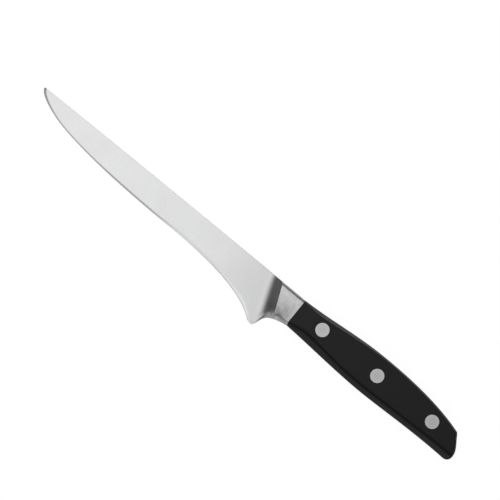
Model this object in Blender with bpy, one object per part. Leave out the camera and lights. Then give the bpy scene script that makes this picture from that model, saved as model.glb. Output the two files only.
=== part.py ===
"""Boning knife: one forging (blade, bolster and full tang), two scales and three cutler's rivets.

Metres, +Z up. The knife lies on its right side: +X runs from the tip to the butt, +Y from the cutting
edge to the spine, and the origin is at the bottom centre of the bounding box.

The shapes are worked out in the knife's own coordinates: x from the tip, y from the line of the spine
(so most of the knife has a negative y) and z from the middle plane of the blade. An empty carries every
piece from there to the origin above.
"""

import math

import bmesh
import bpy
import numpy as np
from mathutils import Vector
from mathutils.geometry import interpolate_bezier

# Blade, seen from the side
BLADE_LENGTH = 0.1600  # tip to the heel's corner
SPINE_CROWN = 0.0003  # the spine's bow above a straight line
TIP_HEIGHT = 0.0003  # blunt end of the point
SWEEP_LENGTH = 0.0200  # the edge's quick rise to the point
SWEEP_DEPTH = 0.01005
WAIST_AT = 0.0950  # where the edge runs parallel to the spine
WAIST_DEPTH = 0.01517
HEEL_DEPTH = 0.02695  # spine to the end of the edge, just before the heel's rounded corner
HEEL_CORNER = 0.0030  # length of that rounded corner
HEEL_BACK = 0.0006  # how far the corner's back edge bulges behind it

# Blade, in thickness
SPINE_AT_TIP = 0.00094
SPINE_AT_HEEL = 0.0030
GRIND_ANGLE = math.radians(2.3)  # the flat's slope, spine to edge, on each side
BEVEL_ANGLE = math.radians(17.0)  # the sharpened bevel, on each side
BEVEL_REACH = 0.0025  # no bevel is wider than this
EDGE_THICKNESS = 0.00008

# Bolster
BOLSTER_LENGTH = 0.0140  # heel's corner to the joint with the scales
BOLSTER_THICKNESS = 0.0130
JOINT_TOP = -0.0003  # y of the spine at the joint
JOINT_BOTTOM = -0.01645  # y of the belly at the joint
RIDGE_SETBACK = 0.0150  # joint to the sharp ridge, at the spine
FILLET_RADIUS = 0.0085  # the hollow from the blade's flat up to the ridge
FILLET_LEAN = math.tan(math.radians(20.0))  # how far the hollow leans towards the heel
BOLSTER_TOP_CHAMFER = 0.0014
BOLSTER_BELLY_CHAMFER = 0.00195

# Handle
HANDLE_LENGTH = 0.1095  # joint to the back of the butt
HANDLE_THICKNESS = 0.0145
HANDLE_STEP = 0.00005  # tang and scales lie this far inside the bolster's outline
TANG_THICKNESS = 0.0030
BACK_APEX_AT = 0.0500  # the highest point of the back, from the joint
BACK_APEX = 0.0030  # its y
BELLY_APEX_AT = 0.0520
BELLY_APEX = -0.0190
BUTT_CORNER_AT = 0.0065  # the back's corner, from the end of the butt
BUTT_CORNER = -0.0032  # its y
BUTT_NOSE = -0.0148  # y of the butt's furthest point
BUTT_FLAT = 0.0008  # height of the flat there
BUTT_FOOT_AT = 0.0035  # where the belly starts to round up, from the end of the butt
BUTT_FOOT = -0.01845
FLARE_LENGTH = 0.0120  # over which the scales swell from the bolster to full thickness
FACET_FRONT = 0.0041  # height of the 45 degree facet along the belly, at the end of the flare
FACET_HEIGHT = 0.0033  # and along the rest of the handle
FACET_SETTLE = 0.0380
FACET_BUTT = 0.0039  # and at the end of the butt
FACET_RISE = 0.0250  # over which it grows again there
BACK_CHAMFER_FRONT = 0.0020
BACK_CHAMFER = 0.0008
BACK_CHAMFER_SETTLE = 0.0600

# Cutler's rivets: a tube with a head, and a pin with a head pressed into it
RIVET_FROM_JOINT = 0.0163  # centre of the front rivet
RIVET_FROM_BUTT = 0.0195  # centre of the rear rivet
RIVET_DEPTH_FRONT = 0.0065  # below the spine's line
RIVET_DEPTH_REAR = 0.0074
RIVET_HEAD_DIAMETER = 0.0075
RIVET_HEAD_DEPTH = 0.0020
RIVET_SINK = 0.00005  # the heads lie this far below the scales' faces
RIVET_TUBE_DIAMETER = 0.0050
RIVET_PIN_DIAMETER = 0.0026
RIVET_PIN_END = 0.0010  # from the pin's end to the floor of the tube
RIVET_NAMES = ("front", "middle", "rear")

# Clearances
SEAT_GAP = 0.0003  # scale to tang and to bolster, and each rivet head to its seat
BORE_GAP = 0.0003  # round a rivet in its hole, and round the pin in the tube

# Fineness of the meshes
ROWS = 11  # from the belly to the spine, on each side of the forging
CURVE_SAMPLES = 60  # of each Bezier segment, when a curve is looked up
ROUND_SEGMENTS = 40
BOOLEAN_OVERRUN = 0.002  # how far a cutter passes a face it goes through

JOINT_X = BLADE_LENGTH + BOLSTER_LENGTH
BUTT_X = JOINT_X + HANDLE_LENGTH
HALF_HANDLE = HANDLE_THICKNESS / 2
HALF_BOLSTER = BOLSTER_THICKNESS / 2
HALF_TANG = TANG_THICKNESS / 2


def bezier(start, handle_a, handle_b, end, samples=CURVE_SAMPLES):
    """Points along one cubic segment, as an array of (x, y)."""
    corners = [Vector((x, y, 0)) for x, y in (start, handle_a, handle_b, end)]
    return np.array([p.xy for p in interpolate_bezier(*corners, samples)])


def chain(*pieces):
    """Curves that follow each other, as one, with no point twice."""
    return np.vstack([pieces[0]] + [piece[1:] for piece in pieces[1:]])


def height(curve, x):
    """y of a curve that runs along x."""
    return np.interp(x, curve[:, 0], curve[:, 1])


def distance(curve, x, y):
    """Distance of each point from a curve."""
    dx = np.asarray(x)[..., None] - curve[:, 0]
    dy = np.asarray(y)[..., None] - curve[:, 1]
    return np.hypot(dx, dy).min(axis=-1)


def ease(x, start, end):
    """0 before start, 1 after end, and smooth between them."""
    t = np.clip((x - start) / (end - start), 0.0, 1.0)
    return t * t * (3 - 2 * t)


# ---- Outlines, in the knife's coordinates


def spine_curve():
    third = JOINT_X / 3
    return bezier((0, 0), (third, SPINE_CROWN), (2 * third, SPINE_CROWN), (JOINT_X, JOINT_TOP))


def edge_curve(samples=CURVE_SAMPLES):
    """The sharpened edge: the sweep to the point, the long belly, and the drop to the heel."""
    sweep_end = (SWEEP_LENGTH, -SWEEP_DEPTH)
    waist = (WAIST_AT, -WAIST_DEPTH)
    heel = (BLADE_LENGTH - HEEL_CORNER, -HEEL_DEPTH)
    belly_run = WAIST_AT - SWEEP_LENGTH
    belly_fall = WAIST_DEPTH - SWEEP_DEPTH
    drop_run = heel[0] - WAIST_AT
    drop_fall = HEEL_DEPTH - WAIST_DEPTH
    sweep = bezier(
        (0, -TIP_HEIGHT),
        (0, -0.41 * SWEEP_DEPTH),
        (0.615 * SWEEP_LENGTH, -0.847 * SWEEP_DEPTH),
        sweep_end,
        samples,
    )
    belly = bezier(
        sweep_end,
        (SWEEP_LENGTH + 0.25 * belly_run, -SWEEP_DEPTH - 0.73 * belly_fall),
        (WAIST_AT - 0.38 * belly_run, -WAIST_DEPTH),
        waist,
        samples,
    )
    fall = bezier(
        waist,
        (WAIST_AT + 0.42 * drop_run, -WAIST_DEPTH),
        (heel[0] - 0.20 * drop_run, -HEEL_DEPTH + 0.81 * drop_fall),
        heel,
        samples,
    )
    return chain(sweep, belly, fall)


def heel_curve(samples=CURVE_SAMPLES):
    """The heel's rounded corner."""
    return bezier(
        (BLADE_LENGTH - HEEL_CORNER, -HEEL_DEPTH),
        (BLADE_LENGTH - 0.76 * HEEL_CORNER, -HEEL_DEPTH - 0.0005),
        (BLADE_LENGTH + 0.0002, -HEEL_DEPTH - 0.0010),
        (BLADE_LENGTH + HEEL_BACK, -HEEL_DEPTH),
        samples,
    )


def choil_curve():
    """The hollow behind the heel, up to the joint: where the forefinger lies."""
    start_x = BLADE_LENGTH + HEEL_BACK
    rise = HEEL_DEPTH + JOINT_BOTTOM
    run = JOINT_X - start_x
    return bezier(
        (start_x, -HEEL_DEPTH),
        (start_x + 0.204 * run, -HEEL_DEPTH + 0.466 * rise),
        (start_x + 0.033 * run, -HEEL_DEPTH + 0.784 * rise),
        (JOINT_X, JOINT_BOTTOM),
    )


def back_curve():
    """The handle's upper outline, from the joint round the butt's corner to its furthest point."""
    corner_x = BUTT_X - BUTT_CORNER_AT
    apex_x = JOINT_X + BACK_APEX_AT
    start_y = JOINT_TOP - HANDLE_STEP
    fall = corner_x - apex_x
    rise = bezier(
        (JOINT_X, start_y),
        (JOINT_X + 0.36 * BACK_APEX_AT, start_y + 0.0005),
        (JOINT_X + 0.64 * BACK_APEX_AT, BACK_APEX),
        (apex_x, BACK_APEX),
    )
    decline = bezier(
        (apex_x, BACK_APEX),
        (apex_x + 0.38 * fall, BACK_APEX),
        (corner_x - 0.28 * fall, BUTT_CORNER + 0.0045),
        (corner_x, BUTT_CORNER),
    )
    corner_end = (corner_x + 0.0016, BUTT_CORNER - 0.0017)
    corner = bezier(
        (corner_x, BUTT_CORNER),
        (corner_x + 0.0006, BUTT_CORNER - 0.0002),
        (corner_x + 0.0012, BUTT_CORNER - 0.0010),
        corner_end,
    )
    nose_top = BUTT_NOSE + BUTT_FLAT / 2
    butt = bezier(
        corner_end,
        (corner_end[0] + 0.0023, corner_end[1] - 0.0035),
        (BUTT_X, nose_top + 0.0032),
        (BUTT_X, nose_top),
    )
    return chain(rise, decline, corner, butt)


def belly_line():
    """The handle's lower outline with its end carried straight on: the facet's crease follows it."""
    foot_x = BUTT_X - BUTT_FOOT_AT
    start_y = JOINT_BOTTOM + HANDLE_STEP
    apex_x = JOINT_X + BELLY_APEX_AT
    swell = bezier(
        (JOINT_X, start_y),
        (JOINT_X + 0.35 * BELLY_APEX_AT, start_y - 0.0008),
        (JOINT_X + 0.69 * BELLY_APEX_AT, BELLY_APEX),
        (apex_x, BELLY_APEX),
    )
    back = foot_x - apex_x
    hollow = bezier(
        (apex_x, BELLY_APEX),
        (apex_x + 0.26 * back, BELLY_APEX),
        (apex_x + 0.60 * back, BUTT_FOOT + 0.0009),
        (foot_x, BUTT_FOOT),
    )
    return chain(swell, hollow, np.array([(foot_x, BUTT_FOOT), (BUTT_X, BUTT_FOOT)]))


def belly_curve():
    """The handle's lower outline, rounded up to the butt's furthest point."""
    foot_x = BUTT_X - BUTT_FOOT_AT
    line = belly_line()
    nose_bottom = BUTT_NOSE - BUTT_FLAT / 2
    toe = bezier(
        (foot_x, BUTT_FOOT),
        (foot_x + 0.66 * BUTT_FOOT_AT, BUTT_FOOT - 0.0001),
        (BUTT_X, nose_bottom - 0.0019),
        (BUTT_X, nose_bottom),
    )
    return chain(line[line[:, 0] < foot_x], toe)


SPINE = spine_curve()
EDGE = edge_curve()
CHOIL = choil_curve()
BACK = back_curve()
BELLY_LINE = belly_line()
BELLY = belly_curve()
FILLET_START = JOINT_X - RIDGE_SETBACK - math.sqrt(
    FILLET_RADIUS**2 - (FILLET_RADIUS - HALF_BOLSTER + SPINE_AT_HEEL / 2) ** 2
)  # x of the hollow's start, at the spine


# ---- Half thicknesses, measured from the middle plane


def flat_half(x, y):
    """The blade's flat: one plane, thinner towards the tip and towards the edge."""
    taper = (SPINE_AT_HEEL - SPINE_AT_TIP) / 2 / BLADE_LENGTH
    return SPINE_AT_TIP / 2 + taper * x + math.tan(GRIND_ANGLE) * y


def bevel_half(x, y):
    """The sharpened bevel, which carries on in a straight line past the end of the edge."""
    ahead = EDGE[-1] + (EDGE[-1] - EDGE[-2]) * CURVE_SAMPLES
    line = np.vstack([EDGE, ahead])
    slope = np.interp(x, EDGE[:, 0], np.gradient(EDGE[:, 1], EDGE[:, 0]))
    away = np.maximum(y - height(line, x), 0) / np.hypot(1, slope)
    bevel = EDGE_THICKNESS / 2 + away * math.tan(BEVEL_ANGLE)
    return np.where(away < BEVEL_REACH, bevel, HALF_BOLSTER)


def hollow_half(x, y):
    """The flat, and the hollow that climbs from it to the bolster's ridge."""
    run = np.clip(x + FILLET_LEAN * y - FILLET_START, 0, FILLET_RADIUS)
    return flat_half(x, y) + FILLET_RADIUS - np.sqrt(FILLET_RADIUS**2 - run**2)


def bolster_half(x, y):
    """The bolster's side face, with its 45 degree chamfers along the spine and the choil."""
    top = HALF_BOLSTER - BOLSTER_TOP_CHAMFER + height(SPINE, x) - y
    belly = HALF_BOLSTER - BOLSTER_BELLY_CHAMFER + distance(CHOIL, x, y)
    return np.minimum(np.minimum(top, belly), HALF_BOLSTER)


def forging_half(x, y):
    thickness = np.minimum(hollow_half(x, y), bolster_half(x, y))
    return np.minimum(thickness, bevel_half(x, y))


def face_half(x):
    """The scales' side faces, which swell behind the bolster and then lie flat."""
    swell = ease(x - JOINT_X, 0, FLARE_LENGTH)
    return HALF_BOLSTER + (HALF_HANDLE - HALF_BOLSTER) * swell


def swelling(x, start, front, rest, settle):
    """A chamfer's width: start at the bolster, front at the end of the flare, then down to rest."""
    near = start + (front - start) * ease(x - JOINT_X, 0, FLARE_LENGTH)
    return near + (rest - front) * ease(x - JOINT_X, FLARE_LENGTH, settle)


def facet_height(x):
    rise = (FACET_BUTT - FACET_HEIGHT) * ease(x, BUTT_X - FACET_RISE, BUTT_X)
    return swelling(x, BOLSTER_BELLY_CHAMFER, FACET_FRONT, FACET_HEIGHT, FACET_SETTLE) + rise


def back_chamfer(x):
    return swelling(x, BOLSTER_TOP_CHAMFER, BACK_CHAMFER_FRONT, BACK_CHAMFER, BACK_CHAMFER_SETTLE)


def crease(x):
    """y of the crease between the side face and the facet along the belly."""
    return height(BELLY_LINE, x) + facet_height(x)


def scale_half(x, y):
    face = face_half(x)
    facet = face - (crease(x) - y)
    chamfer = face - back_chamfer(x) + distance(BACK, x, y)
    return np.minimum(np.minimum(facet, chamfer), face)


# ---- Meshes


def new_object(name, mesh, material):
    obj = bpy.data.objects.new(name, mesh)
    bpy.context.scene.collection.objects.link(obj)
    if material:
        mesh.materials.append(material)
        mesh.shade_smooth()
        mesh.set_sharp_from_angle(angle=math.radians(20))
    return obj


def mesh_from(bm, name):
    bmesh.ops.recalc_face_normals(bm, faces=bm.faces)
    mesh = bpy.data.meshes.new(name)
    bm.to_mesh(mesh)
    bm.free()
    return mesh


def loft(name, sections):
    """One closed mesh through sections that all have as many points, with both ends filled."""
    bm = bmesh.new()
    loops = [[bm.verts.new(point) for point in section] for section in sections]
    for loop, following in zip(loops, loops[1:]):
        for i in range(len(loop)):
            bm.faces.new((loop[i - 1], loop[i], following[i], following[i - 1]))
    bm.faces.new(loops[0])
    bm.faces.new(loops[-1])
    return mesh_from(bm, name)


def turned(name, profile, centres=((0, 0),)):
    """A profile of (radius, z) spun round Z, once at each centre. It starts and ends on the axis."""
    bm = bmesh.new()
    for centre in centres:
        points = [bm.verts.new((centre[0] + radius, centre[1], z)) for radius, z in profile]
        line = [bm.edges.new(pair) for pair in zip(points, points[1:])]
        bmesh.ops.spin(
            bm,
            geom=points + line,
            cent=(*centre, 0),
            axis=(0, 0, 1),
            angle=2 * math.pi,
            steps=ROUND_SEGMENTS,
            use_merge=True,
        )
    bmesh.ops.remove_doubles(bm, verts=bm.verts, dist=1e-6)
    return mesh_from(bm, name)


def cut(obj, cutter):
    """A Boolean difference, whose cutter stays in the file as a wire guide."""
    cutter.hide_render = True
    cutter.display_type = "WIRE"
    modifier = obj.modifiers.new(cutter.name, "BOOLEAN")
    modifier.operation = "DIFFERENCE"
    modifier.solver = "EXACT"
    modifier.object = cutter


def material(name, colour, roughness, metallic):
    made = bpy.data.materials.new(name)
    made.use_nodes = True
    shader = made.node_tree.nodes["Principled BSDF"]
    shader.inputs["Base Color"].default_value = (*colour, 1)
    shader.inputs["Roughness"].default_value = roughness
    shader.inputs["Metallic"].default_value = metallic
    return made


# ---- The forging


def column(start, end, first, last):
    """Points from start up to end: the belly, first from it, even steps, last from the top, the top."""
    start, end = np.array(start), np.array(end)
    along = end - start
    length = np.hypot(*along)
    first = min(first, 0.4 * length) / length
    last = 1 - min(last, 0.3 * length) / length
    shares = np.concatenate([[0], np.linspace(first, last, ROWS - 2), [1]])
    return start + shares[:, None] * along


def section(points, half):
    """A closed loop: up the left side from the belly, and down the right side from the spine."""
    left = [Vector((x, y, z)) for (x, y), z in zip(points, half)]
    right = [Vector((x, y, -z)) for (x, y), z in zip(points, half)]
    return left + right[::-1]


def bevel_shoulder(x, y):
    """Height above the edge at which the bevel meets the flat."""
    slope = np.interp(x, EDGE[:, 0], np.gradient(EDGE[:, 1], EDGE[:, 0]))
    climb = math.tan(BEVEL_ANGLE) / math.hypot(1, slope) - math.tan(GRIND_ANGLE)
    return max(flat_half(x, y) - EDGE_THICKNESS / 2, 0) / climb


def hollow_foot():
    """Where the line of the hollow's start meets the outline behind the heel."""
    outline = chain(EDGE, heel_curve(), CHOIL)
    lean = outline[:, 0] + FILLET_LEAN * outline[:, 1]
    x = np.interp(FILLET_START, lean, outline[:, 0])
    return x, height(outline, x)


def blade_sections():
    """From the point to the hollow's start. The columns lean over as they near the heel."""
    foot = hollow_foot()
    edge = chain(edge_curve(samples=11), heel_curve(samples=7))
    outline = [point for point in edge if point[0] < foot[0]]
    sections = []
    for x, y in outline:
        lean = FILLET_LEAN * ease(x, WAIST_AT, BLADE_LENGTH - HEEL_CORNER)
        top_x = x + lean * y
        shoulder = bevel_shoulder(x, y)
        points = column((x, y), (top_x, height(SPINE, top_x)), shoulder, BOLSTER_TOP_CHAMFER)
        sections.append(section(points, forging_half(points[:, 0], points[:, 1])))
    return sections


def bolster_rows(share):
    """The column a share of the way from the hollow's start (0) to the joint (1)."""
    foot_x, _ = hollow_foot()
    x = foot_x + share * (JOINT_X - foot_x)
    outline = chain(heel_curve(), CHOIL)
    top_x = FILLET_START + share * (JOINT_X - FILLET_START)
    return column(
        (x, height(outline, x)), (top_x, height(SPINE, top_x)), BOLSTER_BELLY_CHAMFER, BOLSTER_TOP_CHAMFER
    )


def ridge_shares():
    """For each row, the share of the way at which the hollow has climbed to the bolster's side."""
    shares = np.linspace(0, 1, 400)
    paths = np.array([bolster_rows(share) for share in shares])
    x, y = paths[..., 0], paths[..., 1]
    below = hollow_half(x, y) < bolster_half(x, y)
    return shares[below.sum(axis=0).clip(1, len(shares) - 2)]


def bolster_sections(hollow_steps=9, side_steps=5):
    """The hollow, whose last column lies on the ridge, and the bolster's side up to the joint."""
    ridge = ridge_shares()
    columns = [ridge * step / hollow_steps for step in range(hollow_steps + 1)]
    columns += [ridge + (1 - ridge) * step / side_steps for step in range(1, side_steps + 1)]
    sections = []
    for shares in columns:
        points = np.array([bolster_rows(share)[row] for row, share in enumerate(shares)])
        sections.append(section(points, forging_half(points[:, 0], points[:, 1])))
    return sections


def handle_stations():
    """x of each section of the handle: close together in the flare, at the butt's corner and its end."""
    flare = np.linspace(0, FLARE_LENGTH, 9)
    straight = np.linspace(FLARE_LENGTH, HANDLE_LENGTH - BUTT_CORNER_AT, 20)[1:]
    swing = (1 - np.cos(np.linspace(0, math.pi, 15)[1:])) / 2
    butt = HANDLE_LENGTH - BUTT_CORNER_AT * (1 - swing)
    return JOINT_X + np.concatenate([flare, straight, butt])


def tang_sections():
    sections = []
    for x in handle_stations():
        points = column((x, height(BELLY, x)), (x, height(BACK, x)), FACET_HEIGHT, BACK_CHAMFER)
        sections.append(section(points, np.full(ROWS, HALF_TANG)))
    return sections


def rivet_centres():
    """(x, y) of the three rivets, on one straight line."""
    xs = np.linspace(JOINT_X + RIVET_FROM_JOINT, BUTT_X - RIVET_FROM_BUTT, len(RIVET_NAMES))
    ys = np.linspace(-RIVET_DEPTH_FRONT, -RIVET_DEPTH_REAR, len(RIVET_NAMES))
    return list(zip(xs, ys))


def make_forging(steel):
    mesh = loft("blade_with_tang", blade_sections() + bolster_sections() + tang_sections())
    obj = new_object("blade_with_tang", mesh, steel)
    radius = RIVET_TUBE_DIAMETER / 2 + BORE_GAP
    end = HALF_TANG + BOOLEAN_OVERRUN
    holes = turned("tang_holes", [(0, end), (radius, end), (radius, -end), (0, -end)], rivet_centres())
    cutter = new_object("tang_holes", holes, None)
    cut(obj, cutter)
    return [obj, cutter]


# ---- The scales


def scale_section(x, side):
    """A closed loop of one scale at x: its outer side from the belly to the back, then the inner face."""
    bottom, top = height(BELLY, x), height(BACK, x)
    fold = np.clip(crease(x), bottom + 0.25 * (top - bottom), top)
    slope = np.interp(x, BACK[:, 0], np.gradient(BACK[:, 1], BACK[:, 0]))
    rim = max(top - back_chamfer(x) * math.hypot(1, slope), bottom + 0.75 * (top - bottom))
    if x < BUTT_X - BUTT_CORNER_AT:
        fold, rim = crease(x), top - back_chamfer(x)
    ys = np.concatenate([[bottom], np.linspace(fold, rim, 4), [top]])
    zs = scale_half(np.full_like(ys, x), ys)
    inner = HALF_TANG + SEAT_GAP
    loop = [Vector((x, y, side * z)) for y, z in zip(ys, zs)]
    return loop + [Vector((x, top, side * inner)), Vector((x, bottom, side * inner))]


def make_scale(name, side, plastic):
    """side is 1 for the left scale and -1 for the right one."""
    stations = handle_stations()
    stations[0] += SEAT_GAP
    obj = new_object(name, loft(name, [scale_section(x, side) for x in stations]), plastic)
    head = RIVET_HEAD_DIAMETER / 2 + BORE_GAP
    tube = RIVET_TUBE_DIAMETER / 2 + BORE_GAP
    outside = HALF_HANDLE + BOOLEAN_OVERRUN
    seat = HALF_HANDLE - RIVET_SINK - RIVET_HEAD_DEPTH - SEAT_GAP
    inside = HALF_TANG + SEAT_GAP - BOOLEAN_OVERRUN
    profile = [(0, outside), (head, outside), (head, seat), (tube, seat), (tube, inside), (0, inside)]
    holes = turned(name + "_holes", [(radius, side * z) for radius, z in profile], rivet_centres())
    cutter = new_object(name + "_holes", holes, None)
    cut(obj, cutter)
    return [obj, cutter]


# ---- The rivets


def make_rivet(name, centre, steel):
    """The tube half, whose head lies in the right scale, and the pin half, whose head lies in the left."""
    face = HALF_HANDLE - RIVET_SINK
    under = face - RIVET_HEAD_DEPTH
    head = RIVET_HEAD_DIAMETER / 2
    tube = RIVET_TUBE_DIAMETER / 2
    pin = RIVET_PIN_DIAMETER / 2
    bore = pin + BORE_GAP
    mouth = under - SEAT_GAP
    tube_profile = [
        (0, -under),
        (bore, -under),
        (bore, mouth),
        (tube, mouth),
        (tube, -under),
        (head, -under),
        (head, -face),
        (0, -face),
    ]
    pin_end = -under + RIVET_PIN_END
    pin_profile = [(0, face), (head, face), (head, under), (pin, under), (pin, pin_end), (0, pin_end)]
    made = []
    for half, profile in (("tube", tube_profile), ("pin", pin_profile)):
        node = f"rivet_{half}_{name}"
        obj = new_object(node, turned(node, profile), steel)
        obj.location = (*centre, 0)
        made.append(obj)
    return made


def main():
    for obj in list(bpy.data.objects):
        bpy.data.objects.remove(obj)
    steel = material("satin_steel", (0.62, 0.62, 0.62), 0.32, 1.0)
    plastic = material("black_acetal", (0.016, 0.016, 0.017), 0.42, 0.0)
    rivet_steel = material("rivet_steel", (0.55, 0.55, 0.55), 0.38, 1.0)

    pieces = make_forging(steel)
    pieces += make_scale("scale_left", 1, plastic)
    pieces += make_scale("scale_right", -1, plastic)
    for name, centre in zip(RIVET_NAMES, rivet_centres()):
        pieces += make_rivet(name, centre, rivet_steel)

    knife = bpy.data.objects.new("knife", None)
    bpy.context.scene.collection.objects.link(knife)
    outline = np.vstack([SPINE, EDGE, heel_curve(), CHOIL, BACK, BELLY])
    middle = (outline.min(axis=0) + outline.max(axis=0)) / 2
    knife.location = (-middle[0], -middle[1], HALF_HANDLE)
    for piece in pieces:
        piece.parent = knife


main()
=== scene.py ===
import math

import bmesh
import bpy
import numpy as np
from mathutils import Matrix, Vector
from mathutils.geometry import interpolate_bezier


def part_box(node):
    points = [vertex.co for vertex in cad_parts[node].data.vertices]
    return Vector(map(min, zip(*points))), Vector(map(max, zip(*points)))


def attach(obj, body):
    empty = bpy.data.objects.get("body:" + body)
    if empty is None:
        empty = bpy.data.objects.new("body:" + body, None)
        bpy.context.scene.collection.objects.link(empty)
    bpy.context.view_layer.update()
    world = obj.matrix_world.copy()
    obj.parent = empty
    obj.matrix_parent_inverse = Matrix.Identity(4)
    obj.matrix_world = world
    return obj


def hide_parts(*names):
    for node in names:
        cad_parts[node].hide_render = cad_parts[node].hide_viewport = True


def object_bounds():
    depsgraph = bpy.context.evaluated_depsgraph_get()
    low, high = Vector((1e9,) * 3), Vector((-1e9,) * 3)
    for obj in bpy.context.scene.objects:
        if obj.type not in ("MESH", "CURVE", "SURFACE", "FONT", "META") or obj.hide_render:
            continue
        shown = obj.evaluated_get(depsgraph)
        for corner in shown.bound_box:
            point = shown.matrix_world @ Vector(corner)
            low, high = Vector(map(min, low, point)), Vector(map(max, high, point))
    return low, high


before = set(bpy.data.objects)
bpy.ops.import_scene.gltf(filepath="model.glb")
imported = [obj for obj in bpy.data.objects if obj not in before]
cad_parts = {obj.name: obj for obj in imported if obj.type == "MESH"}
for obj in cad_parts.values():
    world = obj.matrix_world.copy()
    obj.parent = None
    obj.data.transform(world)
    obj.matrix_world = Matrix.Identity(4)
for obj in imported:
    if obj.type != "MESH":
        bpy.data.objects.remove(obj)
cadLow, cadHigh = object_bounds()

# Lengths are metres. Shapes are worked out in the knife's own coordinates: x from the tip, y from the
# line of the spine, z from the middle plane of the blade. Each piece's object stands at that origin.


# curves and small sums

def bezier(start, handleA, handleB, end, samples=80):
    corners = [Vector((x, y, 0)) for x, y in (start, handleA, handleB, end)]
    return np.array([point.xy for point in interpolate_bezier(*corners, samples)])


def joinCurves(*curves):
    return np.vstack([curves[0]] + [curve[1:] for curve in curves[1:]])


def heightOf(curve, x):
    return np.interp(x, curve[:, 0], curve[:, 1])


def slopeOf(curve, x):
    middle = (curve[1:, 0] + curve[:-1, 0]) / 2
    slope = np.diff(curve[:, 1]) / np.maximum(np.diff(curve[:, 0]), 1e-7)
    return np.interp(x, middle, slope)


def nearestOn(curve, x, y):
    # the distance to a polyline, and the x of its nearest point
    (ax, ay), (dx, dy) = curve[:-1].T, np.diff(curve, axis=0).T
    gapX, gapY = np.asarray(x, float)[..., None] - ax, np.asarray(y, float)[..., None] - ay
    share = np.clip((gapX * dx + gapY * dy) / np.maximum(dx * dx + dy * dy, 1e-14), 0, 1)
    away = np.hypot(gapX - share * dx, gapY - share * dy)
    nearest = away.argmin(axis=-1)[..., None]
    return [np.take_along_axis(values, nearest, -1)[..., 0] for values in (away, ax + share * dx)]


def distanceTo(curve, x, y):
    return nearestOn(curve, x, y)[0]


def alongCurve(curve, count):
    # evenly spaced points along a curve
    travelled = np.concatenate([[0], np.cumsum(np.hypot(*np.diff(curve, axis=0).T))])
    places = np.linspace(0, travelled[-1], count)
    return np.column_stack([np.interp(places, travelled, curve[:, i]) for i in (0, 1)])


def ease(value, start, end):
    share = np.clip((value - start) / (end - start), 0, 1)
    return share * share * (3 - 2 * share)


def softMin(a, b, width):
    # the lower of two heights, with the corner between them rounded over
    share = np.clip(0.5 + 0.5 * (b - a) / width, 0, 1)
    return b + (a - b) * share - width * share * (1 - share)


def roundOver(distance, radius):
    # how far a face has dropped at that distance from its rounded edge
    inward = np.clip(radius - distance, 0, radius)
    return radius - np.sqrt(np.maximum(radius ** 2 - inward ** 2, 0))


# the outlines, whose curves are pulled by shares of a stretch or by small lengths

blade = {
    "length": 0.1600,                     # tip to the heel's corner
    "spineCrown": 0.0003,
    "tipHeight": 0.0003,
    "sweepLength": 0.0200,                # the edge's quick rise to the point
    "sweepDepth": 0.01005,
    "waistAt": 0.0950,                    # where the edge runs level
    "waistDepth": 0.01517,
    "heelDepth": 0.02695,
    "heelCorner": 0.0030,
    "heelBack": 0.0006,                   # the corner's back edge bulges so far behind it
    "heelHang": (0.0005, 0.0010),         # how far its curve is pulled down at the front and at the back
    "heelPull": 0.0002,
    "spineAtTip": 0.00094,
    "spineAtHeel": 0.0030,
    "grind": (0.0385, 0.0590, 0.0475),    # slope of the flat: in front, at the middle, at the heel
    "grindChange": ((0.055, 0.115), (0.135, 0.157)),
    "bevel": (0.290, 0.190, 0.130),       # slope of the sharpened bevel, which widens to the heel
    "bevelChange": ((0.080, 0.104), (0.120, 0.152)),
    "bevelReach": 0.0032,
    "bevelRound": 0.00005,                # how softly the bevel meets the flat
    "edgeThickness": 0.00004,
    "honed": 0.00007,                     # a narrow honed facet at the very edge, growing to the heel
    "honedFrom": (0.100, 0.135),
    "honedSlope": 0.55,
    "heelRound": 0.00045,
    "heelRoundBefore": 0.005,             # the heel's rounding starts this far before its corner
    "spineRound": 0.00016,
    "columnsWiden": (0.130, 0.155),       # where the mesh changes from the spine's rounding to the chamfer
}

bolster = {
    "thickness": 0.0130,
    "hollowBefore": 0.0258,               # joint to the start of the hollow, at the spine
    "hollowLean": 0.40,                   # its start leans back this much towards the belly
    "hollowRun": 0.0107,                  # over this run it climbs as much as hollowClimb
    "hollowClimb": 0.0050,
    "hollowPower": 2.8,
    "hollowLate": (0.0010, 0.0095),       # near the spine it starts later, and is steeper
    "ridgeRound": 0.00012,
    "topChamfer": 0.0014,
    "topSlope": 0.65,
    "bellyChamfer": (0.00195, 0.00060),   # at the joint, and what the roll adds to it
    "chamferRound": 0.00030,
    "creaseRound": 0.00110,               # what the roll adds to the rounding of its crease
    "chamferBefore": 0.001,               # it starts this far before the heel's corner
    "bellyChamferShare": 0.85,            # where the forging is thin, the chamfer takes only this share
    "bellyThinnest": 0.0003,              # of what is thicker than this
    "footRound": 0.0016,                  # how softly it changes where the hollow meets the belly
    "thinSlope": (0.34, 0.0008, 0.0062),  # the chamfer's slope at the first thickness, 1 at the second
    "rollDepth": 0.0011,                  # the side face rolls over gently towards the belly
    "rollWidth": 0.0070,
    "rollEnd": 0.0050,                    # and is flat again where it meets the scales
    "edgeRound": 0.00045,
    "slant": 0.00055,                     # the joint leans back over the lower chamfer
    "slantAbove": 0.0003,                 # it starts this far above that chamfer
    "slantReach": 0.0030,
}

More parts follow.
